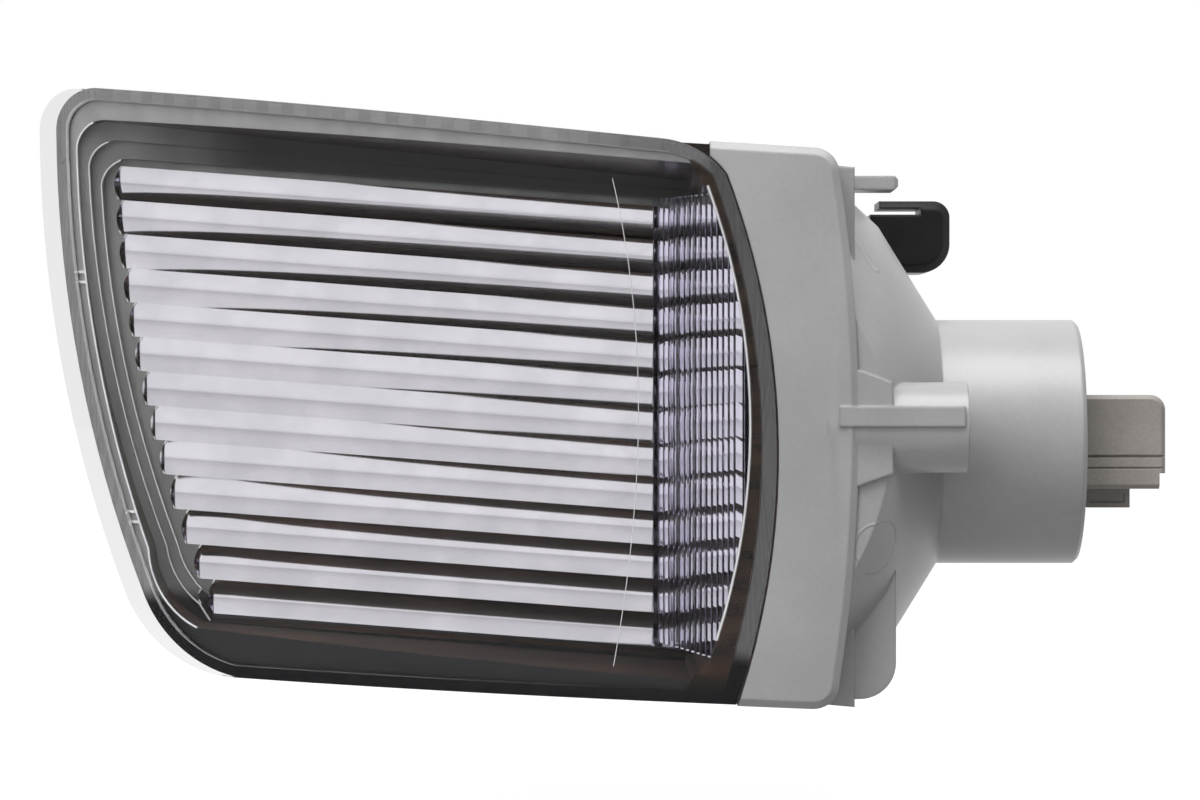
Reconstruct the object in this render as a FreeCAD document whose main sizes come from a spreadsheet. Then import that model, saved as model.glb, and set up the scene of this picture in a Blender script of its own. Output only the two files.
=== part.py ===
import FreeCAD, Part
import os
import re
import Sketcher

V = FreeCAD.Vector
SAME = 0.01  # closer than this counts as the same place or direction
LEDGES = 3  # ledge steps round the reflector

# Clear-lens front indicator lamp of a car, in millimetres.
# +X runs rearwards along the bulb axis, +Y inboard and +Z up.
# Pieces are drawn about the bulb axis, with X = 0 at the housing's rear shoulder,
# and are then placed so that the mouth of the fixing boss is the origin.

SIZES = (
    ("lens_left", 165.5, "shoulder to the lens tip"),
    ("lens_lip", 4.0, "lens tip past the housing"),
    ("lens_radius", 273.0, "plan radius of the lens face"),
    ("lens_centre_x", 28.6, "plan centre of the lens face"),
    ("lens_centre_y", 227.4, "plan centre of the lens face"),
    ("lens_wall", 2.8, "lens thickness"),
    ("lens_depth", 10.0, "lens face to the housing's flange"),
    ("skirt_wall", 2.2, "thickness of the lens skirt"),
    ("seal_height", 0.8, "sealant bead under the skirt"),
    ("lens_gap", 0.3, "lens to the housing's recess"),
    ("sweep_radius", 250.0, "radius of the swept left edge"),
    ("sweep_top", 66.5, "height where the left edge is upright"),
    ("top_left", 72.45, "height of the top edge at its left end"),
    ("top_slope", 0.117, "fall of the top edge"),
    ("top_drop", 2.0, "upright point of the left edge to its upper end"),
    ("top_corner", 8.0, "upper left corner radius"),
    ("top_corner_run", 8.9, "lens tip to the top edge's left end"),
    ("foot_corner", 27.0, "lower left corner radius"),
    ("foot_start", 30.3, "depth where the lower left corner starts"),
    ("bottom_left", 47.2, "depth of the bottom edge at its left end"),
    ("bottom_left_in", 43.5, "lens tip to the bottom edge's left end"),
    ("bottom_right", 50.6, "depth of the bottom edge at the shoulder"),
    ("lens_top_end", 37.0, "top edge's end from the shoulder"),
    ("lens_nose", 17.4, "upper right corner radius of the lens"),
    ("lens_side_top", 51.5, "height of the lens's right edge"),
    ("lens_side_in", 25.0, "top of the right edge from the shoulder"),
    ("lens_side_foot", 23.0, "foot of the right edge from the shoulder"),
    ("lens_foot_lift", 0.7, "foot of the right edge above the bottom edge"),
    ("lens_side_radius", 152.0, "radius of the lens's right edge"),
    ("band_top", 56.4, "height of the rim band"),
    ("band_end", 3.4, "rim band's ends ahead of its middle"),
    ("band_radius", 316.0, "radius of the rim band's rear edge"),
    ("band_corner", 5.0, "corner radius of the rim band"),
    ("band_proud", 1.0, "rim band proud of the lens"),
    ("band_length", 28.0, "length of the rim band's block"),
    ("band_edge", 1.4, "bevel of the rim band's rear edge"),
    ("wall", 2.2, "moulded wall"),
    ("flange", 3.0, "flange under the lens"),
    ("back_y", 48.0, "bulb axis to the inboard face"),
    ("fluted_y", 44.0, "bulb axis to the fluted wall"),
    ("ledge_step", 1.65, "width of a ledge step"),
    ("ledge_left", 2.15, "width of a ledge step at the left"),
    ("ledge_fan", 0.013, "a ledge step's widening to the left, along the top"),
    ("ledge_drop", 2.3, "height of a ledge step"),
    ("floor_left", 153.3, "shoulder to the reflector's left edge"),
    ("ceiling_z", 47.7, "reflector's top edge at the shoulder"),
    ("ceiling_slope", 0.075, "rise of the top edge to the left"),
    ("floor_z", 45.4, "reflector's bottom edge at the shoulder"),
    ("floor_slope", 0.0816, "rise of the bottom edge to the left"),
    ("floor_run", 27.0, "reflector's left edge to its bottom edge"),
    ("floor_corner", 18.0, "lower left corner radius of the reflector"),
    ("floor_lift", 8.0, "reflector's lower left corner above the lens's"),
    ("ceiling_corner", 6.0, "upper left corner radius of the reflector"),
    ("window_radius", 136.0, "radius of the reflector window's right edge"),
    ("flute_radius", 5.0, "radius of a flute"),
    ("flute_depth", 1.5, "depth of a flute"),
    ("flute_pitch", 7.1, "spacing of the flutes"),
    ("flute_tilt", 4.3, "fall of the flutes to the rear, in degrees"),
    ("flute_margin", 3.7, "reflector's left edge to the flutes' full width"),
    ("flute_nose", 4.0, "length of the point at a flute's left end"),
    ("flute_top", 5.1, "reflector's top edge to the first flute"),
    ("dome_length", 18.0, "shoulder to the collar"),
    ("dome_slope", 43.0, "angle of the dome's front part to its axis, in degrees"),
    ("dome_steep", 58.0, "angle of the dome's rear part to its axis, in degrees"),
    ("dome_bend_x", 6.3, "shoulder to the dome's bend"),
    ("dome_side", 43.0, "bulb axis to the dome's outboard side"),
    ("collar_radius", 24.3, "outside of the collar"),
    ("collar_length", 28.0, "dome to the collar's mouth"),
    ("collar_bevel", 0.8, "bevel of the collar's mouth"),
    ("web", 2.5, "plate that holds the bulb socket"),
    ("boss_radius", 8.7, "outside of the fixing boss"),
    ("boss_length", 21.4, "shoulder to the boss's mouth"),
    ("boss_y", 36.0, "boss outboard of the bulb axis"),
    ("boss_z", 3.0, "boss above the bulb axis"),
    ("boss_bore", 2.6, "radius of the screw hole"),
    ("boss_bore_depth", 16.0, "depth of the screw hole"),
    ("pad", 3.9, "height of the flat pad on the boss"),
    ("pad_lift", 0.2, "boss's middle to the pad"),
    ("pad_proud", 0.5, "pad proud of the boss"),
    ("pad_short", 0.9, "pad shorter than the boss"),
    ("gusset_rise", 2.4, "gusset past the boss at its root"),
    ("gusset_length", 6.8, "shoulder to the gussets' ends"),
    ("gusset_inset", 0.7, "gussets inside the boss's outboard side"),
    ("optic_wall", 2.4, "thickness of the inner optic"),
    ("optic_far_x", 37.0, "optic's inboard edge from the shoulder"),
    ("optic_near_x", 21.0, "optic's outboard edge from the shoulder"),
    ("optic_near_y", 28.0, "optic's outboard edge from the bulb axis"),
    ("optic_rib", 4.4, "width of an optic rib"),
    ("optic_rib_radius", 2.6, "radius of an optic rib"),
    ("optic_gap", 0.3, "inner optic to the housing"),
    ("hole_radius", 15.0, "bulb hole"),
    ("lug_reach", 2.6, "bayonet lug past the bulb hole"),
    ("lug_width", 7.0, "width of a bayonet lug"),
    ("lug_height", 2.5, "height of a bayonet lug"),
    ("run_gap", 0.3, "running gap of the bulb socket"),
    ("twist", 45.0, "turn that frees the bulb socket, in degrees"),
    ("gasket", 2.0, "thickness of the socket gasket"),
    ("gasket_ring", 3.2, "width of the socket gasket"),
    ("grip_wall", 2.4, "thickness of the socket flange"),
    ("grip_radius", 19.0, "radius of the socket flange"),
    ("stem_radius", 12.0, "stem between flange and connector"),
    ("plug_start", 36.0, "shoulder to the connector"),
    ("plug_end", 63.0, "shoulder to the connector's mouth"),
    ("plug_y", 18.0, "connector width"),
    ("plug_z", 18.6, "connector height"),
    ("plug_wall", 2.0, "connector wall"),
    ("plug_depth", 12.0, "depth of the connector's mouth"),
    ("plug_corner", 0.8, "bevel of the connector's long edges"),
    ("plug_nose", 3.0, "upper radius of the connector's mouth"),
    ("seam_drop", 2.6, "bulb axis to the connector's seam"),
    ("seam", 0.5, "width and depth of the connector's seam"),
    ("groove_drop", 5.0, "bulb axis to the connector's groove"),
    ("groove", 0.3, "width and depth of the connector's groove"),
    ("foot_drop", 6.2, "bulb axis to the connector's short foot"),
    ("foot_short", 1.2, "foot shorter than the connector"),
    ("latch_start", 46.4, "shoulder to the latch block"),
    ("latch_length", 10.0, "length of the latch block"),
    ("latch_drop", 3.8, "latch block below the connector"),
    ("latch_y", 9.0, "width of the latch block"),
    ("latch_bevel", 1.6, "bevel of the latch block"),
    ("latch_frame", 1.0, "frame about the latch block's panel"),
    ("latch_sunk", 0.4, "depth of the latch block's panel"),
    ("pin_gap", 7.0, "spacing of the two terminals"),
    ("pin_wide", 2.3, "width of a terminal"),
    ("pin_thick", 0.8, "thickness of a terminal"),
    ("pin_inset", 3.0, "terminal tip inside the mouth"),
    ("bulb_radius", 10.0, "outside of the bulb"),
    ("bulb_tip", 22.0, "bulb tip ahead of the shoulder"),
    ("bulb_bevel", 4.0, "bevel of the bulb's tip"),
    ("bulb_glass", 0.8, "glass thickness"),
    ("bulb_disc", 2.0, "thickness of the bulb's foot"),
    ("bulb_seat", 14.2, "shoulder to the socket's face"),
    ("wedge_y", 6.0, "thickness of the bulb's wedge"),
    ("wedge_z", 16.0, "width of the bulb's wedge"),
    ("wedge_length", 7.0, "length of the bulb's wedge"),
    ("filament_x", 7.0, "filament ahead of the shoulder"),
    ("filament_length", 6.0, "length of the filament"),
    ("filament_radius", 0.6, "radius of the filament coil"),
    ("lead_radius", 0.4, "radius of a lead wire"),
    ("fit_gap", 0.1, "gap of pieces that stay put"),
    ("blade", 2.8, "thickness of the upper tab"),
    ("blade_length", 10.6, "length of the upper tab"),
    ("blade_bevel", 0.7, "bevel of the upper tab's end"),
    ("blade_width", 14.0, "width of the upper tab"),
    ("blade_y", 6.0, "middle of the upper tab"),
    ("blade_z", 51.7, "height of the upper tab"),
    ("tongue", 2.0, "thickness of the booted tongue"),
    ("tongue_length", 20.5, "length of the booted tongue"),
    ("tongue_width", 12.0, "width of the booted tongue"),
    ("tongue_y", 38.0, "middle of the booted tongue"),
    ("tongue_z", 40.5, "height of the booted tongue"),
    ("boot_wall", 2.8, "rubber at the boot's tip and sides"),
    ("boot_head", 49.4, "height of the boot's upper side"),
    ("boot_foot", 34.6, "height of the boot's underside"),
    ("boot_length", 16.5, "length of the boot"),
    ("boot_round", 3.4, "upper radius of the boot's tip"),
    ("boot_heel", 6.0, "lower radius of the boot's tip"),
    ("boot_edge", 1.6, "bevel of the boot's outboard edge"),
    ("boot_lip", 1.5, "rubber lip above the open slot"),
    ("boot_lip_short", 1.9, "lip shorter than the boot"),
    ("boot_slot", 1.3, "height of the open slot"),
    ("boot_slot_depth", 10.5, "depth of the open slot"),
    ("fin", 3.0, "thickness of the lower fin"),
    ("fin_length", 8.1, "length of the lower fin"),
    ("fin_height", 34.0, "height of the lower fin"),
    ("fin_y", 32.0, "lower fin's outboard side from the bulb axis"),
    ("fin_lift", 1.2, "lower fin above the rim band's foot"),
    ("fin_corner", 7.0, "corner radius of the lower fin"),
    ("reach", 90.0, "half length of the construction blocks"),
    ("overcut", 1.0, "cut past an open face"),
)

doc = FreeCAD.newDocument("indicator_lamp")
sheet = doc.addObject("Spreadsheet::Sheet", "Sizes")
for row, (alias, size, note) in enumerate(SIZES, start=1):
    sheet.set("A%d" % row, note)
    sheet.set("B%d" % row, str(size))
    sheet.setAlias("B%d" % row, alias)
doc.recompute()

names = {alias for alias, size, note in SIZES}


def formula(text):
    # Words that are sizes become references to the sheet.
    return re.sub(r"[a-z_]+", lambda m: "Sizes." + m[0] if m[0] in names else m[0], str(text))


def number(text):
    return float(sheet.evalExpression(formula(text)))


def bind(thing, **sizes):
    for prop, text in sizes.items():
        thing.setExpression(prop.replace("__", "."), formula(text))
    return thing


def place(thing, x=0, y=0, z=0):
    return bind(thing, Placement__Base__x=x, Placement__Base__y=y, Placement__Base__z=z)


def turn(thing, axis, angle):
    thing.Placement = FreeCAD.Placement(V(), FreeCAD.Rotation(axis, angle))
    return thing


def sketch_at(name, x=0, y=0, z=0, axis=V(1, 0, 0), angle=90):
    # By default a sketch stands upright: its x is +X and its y is +Z.
    sketch = turn(doc.addObject("Sketcher::SketchObject", name), axis, angle)
    return place(sketch, x, y, z)


def loop(sketch, corners):
    # Each corner is (x, y) at the end of a straight run, or (x, y, radius) at the end of an arc
    # that bulges to the left of its run, or to the right where the radius is negative.
    points = [V(number(corner[0]), number(corner[1]), 0) for corner in corners]
    ends = []
    first = sketch.GeometryCount
    for index, corner in enumerate(corners):
        start = points[index - 1]
        end = points[index]
        if len(corner) == 2:
            sketch.addGeometry(Part.LineSegment(start, end), False)
            ends.append((1, 2))
            continue
        radius = number(corner[2])
        chord = end - start
        side = V(-chord.y, chord.x, 0).normalize() * (1 if radius > 0 else -1)
        rise = abs(radius) - (radius ** 2 - chord.Length ** 2 / 4) ** 0.5
        middle = (start + end) * 0.5 + side * rise
        # Arcs are drawn anticlockwise, so one that bulges to the left is drawn from its end.
        arc = Part.ArcOfCircle(end, middle, start) if radius > 0 else Part.ArcOfCircle(start, middle, end)
        drawn = sketch.addGeometry(arc, False)
        ends.append((2, 1) if radius > 0 else (1, 2))
        hold(sketch, "Radius", (drawn,), abs(radius), "abs(%s)" % corner[2])
    for index, corner in enumerate(corners):
        this = first + index
        after = first + (index + 1) % len(corners)
        joint = (this, ends[index][1], after, ends[(index + 1) % len(corners)][0])
        sketch.addConstraint(Sketcher.Constraint("Coincident", *joint))
        tip = (-1, 1, this, ends[index][1])
        hold(sketch, "DistanceX", tip, points[index].x, corner[0])
        hold(sketch, "DistanceY", tip, points[index].y, corner[1])
    return sketch


def hold(sketch, kind, places, size, text):
    index = sketch.addConstraint(Sketcher.Constraint(kind, *places, size))
    label = "size%d" % index
    sketch.renameConstraint(index, label)
    sketch.setExpression("Constraints." + label, formula(text))


def extrude(name, base, direction, forward, back=0):
    block = doc.addObject("Part::Extrusion", name)
    block.Base = base
    block.DirMode = "Custom"
    block.Dir = direction
    block.Solid = True
    return bind(block, LengthFwd=forward, LengthRev=back)


def through(name, outline):
    # A block with an upright outline that runs right through the lamp, along Y.
    return extrude(name, outline, V(0, 1, 0), "reach", "reach")


def cut(name, base, *tools):
    for index, tool in enumerate(tools):
        last = index == len(tools) - 1
        step = doc.addObject("Part::Cut", name if last else "%s_less_%d" % (name, index))
        step.Base = base
        step.Tool = tool
        base = step
    return base


def fuse(name, *pieces):
    whole = doc.addObject("Part::MultiFuse", name)
    whole.Shapes = list(pieces)
    return whole


def common(name, *pieces):
    shared = doc.addObject("Part::MultiCommon", name)
    shared.Shapes = list(pieces)
    return shared


def box(name, x, y, z, length, width, height):
    return place(bind(doc.addObject("Part::Box", name), Length=length, Width=width, Height=height), x, y, z)


def rod(name, start, length, radius, y=0, z=0):
    # A cylinder along +X.
    piece = turn(doc.addObject("Part::Cylinder", name), V(0, 1, 0), 90)
    return place(bind(piece, Radius=radius, Height=length), start, y, z)


def round_edges(name, base, radius, chosen, kind="Part::Fillet"):
    doc.recompute()
    smooth = doc.addObject(kind, name)
    smooth.Base = base
    size = number(radius)
    smooth.Edges = [(n, size, size) for n, edge in enumerate(base.Shape.Edges, start=1) if chosen(edge)]
    return smooth


def runs_along(axis):
    return lambda edge: edge.Curve.TypeId == "Part::GeomLine" and abs(edge.tangentAt(0).dot(axis)) > 1 - SAME


parts = []


def piece(label, shape):
    # The mouth of the fixing boss is the lamp's origin.
    shape.Label = label
    parts.append(place(shape, "-boss_length", "boss_y", "-boss_z"))


# Upright outlines of the lens and the housing

def swept(left, z):
    # The left edges are arcs about one height.
    return "-(%s) + sweep_radius - sqrt(sweep_radius^2 - (sweep_top - (%s))^2)" % (left, z)


def left_side(left, inset):
    edge = "%s - (%s)" % (left, inset)
    return [
        ("bottom_left_in - lens_left", "%s - bottom_left" % inset),
        (swept(edge, "-foot_start"), "-foot_start", "foot_corner - (%s)" % inset),
        (swept(edge, "sweep_top - top_drop"), "sweep_top - top_drop", "sweep_radius"),
        ("top_corner_run - (%s)" % left, "top_left - (%s)" % inset, "top_corner - (%s)" % inset),
    ]


def lens_edge(name, left, inset="0"):
    # The lens's outline, moved inwards by inset.
    return loop(sketch_at(name), left_side(left, inset) + [
        ("-lens_top_end", "%s - (%s)" % (top_end, inset)),
        ("-lens_side_in - (%s)" % inset, "lens_side_top", "lens_nose - (%s)" % inset),
        ("-lens_side_foot - (%s)" % inset, "lens_foot_lift - bottom_right + (%s)" % inset, "lens_side_radius"),
    ])


top_end = "top_left - top_slope * (lens_left - lens_top_end - top_corner_run)"
seat_left = "(lens_left - lens_lip)"
rim_outline = loop(sketch_at("rim_outline"), left_side(seat_left, "0") + [
    ("-lens_top_end", top_end),
    ("-band_end - band_corner", "band_top"),
    ("-band_end", "band_top - band_corner", "band_corner"),
    ("-band_end", "band_corner - bottom_right", "band_radius"),
    ("-band_end - band_corner", "-bottom_right", "band_corner"),
])


# Upright cylinders behind the lens face and its parallels

def barrel(name, inset, shift=0):
    solid = bind(doc.addObject("Part::Cylinder", name), Radius="lens_radius - (%s)" % inset, Height="2 * reach")
    return place(solid, "lens_centre_x", "lens_centre_y + (%s)" % shift, "-reach")


face = barrel("lens_face", "0")
underside = barrel("lens_underside", "lens_wall")
skirt_end = barrel("skirt_end", "0", "lens_depth - seal_height")
flange_face = barrel("flange_face", "0", "lens_depth")
flange_back = barrel("flange_back", "0", "lens_depth + flange")
band_face = barrel("band_face", "-band_proud")
band_inside = barrel("band_inside", "wall - band_proud")


# Lens: a curved cap with a skirt that stands on the flange

lens_block = through("lens_block", lens_edge("lens_outline", "lens_left"))
cap = cut("lens_cap", common("lens_blank", lens_block, face), underside)
skirt_ring = cut(
    "skirt_ring",
    through("skirt_block", lens_edge("skirt_outline", seat_left)),
    through("skirt_inside", lens_edge("skirt_inner_outline", seat_left, "skirt_wall")),
)
lens_mid = barrel("lens_middle", "lens_wall / 2")
skirt = cut("lens_skirt", common("skirt_blank", skirt_ring, lens_mid), skirt_end)
piece("lens", fuse("lens_solid", cap, skirt))

piece("lens_sealant", cut("bead_solid", common("bead_blank", skirt_ring, skirt_end), flange_face))


# Housing: flange, tub, rim band, dome and collar, moulded in one

def reflector_outline(name, step, right, grow="0", bow=()):
    # The reflector's edge, a number of ledge steps out and then moved outwards by grow;
    # bow is the radius of its right edge, if it has one.
    out = "%d * ledge_step + (%s)" % (step, grow)
    left = "floor_left + %d * ledge_left + (%s)" % (step, grow)
    top = "ceiling_z + %s + (ceiling_slope + %d * ledge_fan) * " % (out, step)
    foot = "-floor_z - (%s) + floor_slope * " % out
    low_left = "(%s - floor_run)" % left
    high_left = "(%s - ceiling_corner)" % left
    high_end = "(%s(%s)) - ceiling_corner" % (top, left)
    return loop(sketch_at(name), [
        ("-(%s)" % right, foot + "(%s)" % right) + bow,
        ("-" + low_left, foot + low_left),
        (swept(left, "floor_lift - foot_start"), "floor_lift - foot_start", "floor_corner"),
        (swept(left, high_end), high_end, "sweep_radius"),
        ("-" + high_left, top + high_left, "ceiling_corner"),
        ("-(%s)" % right, top + "(%s)" % right),
    ])


def ahead_of(name, y):
    return box(name, "-2 * reach - lens_left", "-2 * reach", "-2 * reach",
               "4 * reach + 2 * lens_left", "2 * reach + (%s)" % y, "4 * reach")


rim = cut("rim_slab", common("rim_blank", through("rim_block", rim_outline), flange_face), flange_back)
tub = common(
    "tub",
    through("tub_block", reflector_outline("tub_outline", LEDGES - 1, "0", "wall - fit_gap")),
    flange_face,
    ahead_of("tub_back", "back_y"),
)
band_blank = common(
    "band_blank",
    through("band_outline_block", rim_outline),
    band_face,
    ahead_of("band_back", "back_y"),
    box("band_room", "-band_length", "-2 * reach", "-2 * reach", "2 * band_length", "4 * reach", "4 * reach"),
)


def band_rim(edge):
    # An edge of the band's face, but not where the block ends under the lens.
    middle = edge.valueAt((edge.FirstParameter + edge.LastParameter) / 2)
    from_axis = middle - V(number("lens_centre_x"), number("lens_centre_y"), middle.z)
    on_face = abs(from_axis.Length - number("lens_radius + band_proud")) < SAME
    return on_face and middle.x > number("overcut - band_length")


band = round_edges("band_block", band_blank, "band_edge", band_rim, "Part::Chamfer")

lens_room_outline = lens_edge("lens_room_outline", "lens_left", "-lens_gap")
lens_room = cut("lens_room", through("lens_room_block", lens_room_outline), flange_face)

steps = []
for step in range(LEDGES):
    right = "lens_side_in + flange + %d * ledge_step" % step
    outline = reflector_outline("ledge_outline_%d" % step, step, right, bow=("window_radius",))
    depth = ahead_of("ledge_depth_%d" % step, "fluted_y - %d * ledge_drop" % step)
    steps.append(common("ledge_%d" % step, through("ledge_block_%d" % step, outline), depth, band_inside))
room_outline = reflector_outline("bulb_room_outline", 0, "wall + band_end")
bulb_room = common("bulb_room", through("bulb_room_block", room_outline), flange_back,
                   ahead_of("bulb_room_depth", "fluted_y"))

flutes = []
flute_count = int(number("(ceiling_z + floor_z - flute_top) / flute_pitch"))
for index in range(flute_count + 1):
    drop = "(flute_top + %d * flute_pitch)" % index
    level = "(ceiling_z + ceiling_slope * floor_left - %s)" % drop
    left_x = swept("floor_left - flute_margin", level)
    along = "(floor_left + (%s))" % left_x
    height = "%s - tan(flute_tilt) * %s" % (level, along)
    axis_y = "fluted_y + flute_depth - flute_radius"
    flute = doc.addObject("Part::Cylinder", "flute_%d" % index)
    turn(flute, V(0, 1, 0), 90 + number("flute_tilt"))
    place(bind(flute, Radius="flute_radius", Height="-(%s) - wall - band_end" % left_x), left_x, axis_y, height)
    point = turn(doc.addObject("Part::Cone", "flute_point_%d" % index), V(0, 1, 0), number("flute_tilt") - 90)
    place(bind(point, Radius1="flute_radius", Radius2=0, Height="flute_nose"), left_x, axis_y, height)
    flutes += [flute, point]
fluting = fuse("fluting", *flutes)


def dome_solid(name, inset, start, sides):
    # Two cones that meet at a bend, about the bulb axis, with flat sides.
    steep_in = "(%s) / cos(dome_steep)" % inset
    bend_x = "dome_bend_x - (%s) * tan((dome_steep - dome_slope) / 2)" % inset
    bend_r = "collar_radius - %s + (dome_length - (%s)) * tan(dome_steep)" % (steep_in, bend_x)
    profile = loop(sketch_at(name + "_profile"), [
        (start, "0"),
        (start, "%s + (%s - (%s)) * tan(dome_slope)" % (bend_r, bend_x, start)),
        (bend_x, bend_r),
        ("dome_length", "collar_radius - %s" % steep_in),
        ("dome_length", "0"),
    ])
    solid = doc.addObject("Part::Revolution", name + "_turned")
    solid.Source = profile
    solid.Axis = V(1, 0, 0)
    solid.Angle = 360
    solid.Solid = True
    outboard, inboard, foot = sides
    room = box(name + "_room", "-reach", "-(%s)" % outboard, "-(%s)" % foot, "2 * reach",
               "%s + %s" % (outboard, inboard), "2 * reach")
    return common(name, solid, room)


def at_mouth(edge):
    middle = number("dome_length + collar_length / 2")
    return edge.Curve.TypeId == "Part::GeomCircle" and edge.CenterOfMass.x > middle


dome = dome_solid("dome", "0", "-band_end - wall", ("dome_side", "back_y", "bottom_right"))
bowl = dome_solid("bowl", "wall", "-band_end - wall", ("dome_side - wall", "fluted_y", "bottom_right - wall"))
collar_blank = rod("collar_blank", "dome_length", "collar_length", "collar_radius")
collar = round_edges("collar", collar_blank, "collar_bevel", at_mouth, "Part::Chamfer")
collar_bore = rod("collar_bore", "dome_length + web", "collar_length", "collar_radius - wall")
bulb_hole = rod("bulb_hole", "dome_length - web", "3 * web", "hole_radius")
notches = []
for index in range(3):
    notch = box("notch_%d" % index, "dome_length - web", 0, 0, "3 * web",
                "lug_width + 4 * run_gap", "hole_radius + lug_reach + 2 * run_gap")
    notch.Placement = FreeCAD.Placement(V(), FreeCAD.Rotation(V(1, 0, 0), 120 * index + number("twist")))
    bind(notch, Placement__Base__x="dome_length - web",
         Placement__Base__y="-(lug_width / 2 + 2 * run_gap) * cos(%d + twist)" % (120 * index),
         Placement__Base__z="-(lug_width / 2 + 2 * run_gap) * sin(%d + twist)" % (120 * index))
    notches.append(notch)

boss = rod("boss", "-band_end - wall", "boss_length + band_end + wall", "boss_radius", "-boss_y", "boss_z")
boss_hole = rod("boss_hole", "boss_length - boss_bore_depth", "2 * boss_bore_depth", "boss_bore", "-boss_y",
                "boss_z")
pad = box("pad", "-band_end", "-boss_y - boss_radius - pad_proud", "boss_z + pad_lift",
          "band_end + boss_length - pad_short", "boss_radius", "pad")
gusset_profile = sketch_at("gusset_profile", 0, "-boss_y")
loop(gusset_profile, [
    ("-band_end", "boss_z + boss_radius + gusset_rise"),
    ("0", "boss_z + boss_radius + gusset_rise"),
    ("gusset_length", "boss_z + boss_radius"),
    ("gusset_length", "boss_z - boss_radius"),
    ("0", "boss_z - boss_radius - gusset_rise"),
    ("-band_end", "boss_z - boss_radius - gusset_rise"),
])
gussets = extrude("gussets", gusset_profile, V(0, -1, 0), "boss_radius - gusset_inset")


def tab_end(edge):
    return edge.CenterOfMass.x > number("blade_length - blade_bevel")


tab_blank = box("tab_blank", "-band_end - wall / 2", "blade_y - blade_width / 2", "blade_z - blade / 2",
                "blade_length + band_end + wall / 2", "blade_width", "blade")
upper_tab = round_edges("upper_tab", tab_blank, "blade_bevel", tab_end, "Part::Chamfer")
tongue_blade = box("tongue_blade", "-band_end - wall / 2", "tongue_y - tongue_width / 2",
                   "tongue_z - tongue / 2", "tongue_length + band_end + wall / 2", "tongue_width", "tongue")
fin_foot = "fin_lift - bottom_right"
fin_profile = sketch_at("fin_profile", 0, "fin - fin_y")
loop(fin_profile, [
    ("-band_end - wall / 2", fin_foot + " + fin_height"),
    ("fin_length", fin_foot + " + fin_height"),
    ("fin_length", fin_foot + " + fin_corner"),
    ("fin_length - fin_corner", fin_foot, "fin_corner"),
    ("-band_end - wall / 2", fin_foot),
])
fin_plate = extrude("fin_plate", fin_profile, V(0, -1, 0), "fin")

shell = cut("front_shell", fuse("front_blank", rim, tub, band), lens_room, *steps, bulb_room)
rear = fuse("rear_blank", shell, dome, collar, boss, pad, gussets, upper_tab, tongue_blade, fin_plate)
piece("housing", cut("housing_solid", rear, bowl, fluting, collar_bore, bulb_hole, *notches, boss_hole))


# Inner optic: an upright ribbed plate across the bulb chamber

optic_run = "sqrt((optic_far_x - optic_near_x)^2 + (fluted_y + optic_near_y)^2)"
optic_turn = number("atan((optic_far_x - optic_near_x) / (fluted_y + optic_near_y))") - 90
optic_profile = sketch_at("optic_profile", "-optic_far_x", "fluted_y - optic_gap", "-reach", V(0, 0, 1),
                          optic_turn)
ribs = int(number("(%s - 2 * optic_gap) / optic_rib" % optic_run))
rib_end = "(%s - 2 * optic_gap) * %d / %d"
loop(optic_profile, [("0", "optic_wall / 2"), ("0", "0")]
     + [(rib_end % (optic_run, index + 1, ribs), "0", "-optic_rib_radius") for index in range(ribs)]
     + [(rib_end % (optic_run, ribs, ribs), "optic_wall / 2")])
optic_block = extrude("optic_block", optic_profile, V(0, 0, 1), "2 * reach")
optic_room = through("optic_room", reflector_outline("optic_room_outline", 0, "wall + band_end", "-optic_gap"))
optic_front = barrel("optic_front", "0", "lens_depth + flange + optic_gap")
piece("inner_optic", common("optic_solid", optic_block, optic_room, optic_front))


# Bulb socket: bayonet neck, flange, stem and connector

web_back = "(dome_length + web)"
grip_start = "(%s + run_gap + gasket)" % web_back
neck = rod("neck", "bulb_seat", "%s - bulb_seat" % grip_start, "hole_radius - run_gap")
grip = rod("grip", grip_start, "grip_wall", "grip_radius")
stem = rod("stem", "%s + grip_wall / 2" % grip_start, "plug_start - %s" % grip_start, "stem_radius")
lugs = []
for index in range(3):
    lug = box("lug_%d" % index, 0, 0, 0, "lug_height", "lug_width", "hole_radius + lug_reach")
    lug.Placement = FreeCAD.Placement(V(), FreeCAD.Rotation(V(1, 0, 0), 120 * index))
    bind(lug, Placement__Base__x="dome_length - run_gap - lug_height",
         Placement__Base__y="-lug_width / 2 * cos(%d)" % (120 * index),
         Placement__Base__z="-lug_width / 2 * sin(%d)" % (120 * index))
    lugs.append(lug)
def plug_nose(edge):
    high = edge.CenterOfMass.z > 0
    return high and runs_along(V(0, 1, 0))(edge) and edge.CenterOfMass.x > number("plug_end - overcut")


plug_block = box("plug_block", "plug_start", "-plug_y / 2", "-plug_z / 2", "plug_end - plug_start", "plug_y",
                 "plug_z")
plug_nosed = round_edges("plug_nosed", plug_block, "plug_nose", plug_nose)
plug = round_edges("plug", plug_nosed, "plug_corner", runs_along(V(1, 0, 0)), "Part::Chamfer")
mouth = box("mouth", "plug_end - plug_depth", "plug_wall - plug_y / 2", "plug_wall - plug_z / 2",
            "2 * plug_depth", "plug_y - 2 * plug_wall", "plug_z - 2 * plug_wall")
latch_foot = "-plug_z / 2 - latch_drop"


def latch_corner(edge):
    low = edge.CenterOfMass.z < number(latch_foot) + number("overcut")
    return low and edge.CenterOfMass.x < number("latch_start + overcut")


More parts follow.
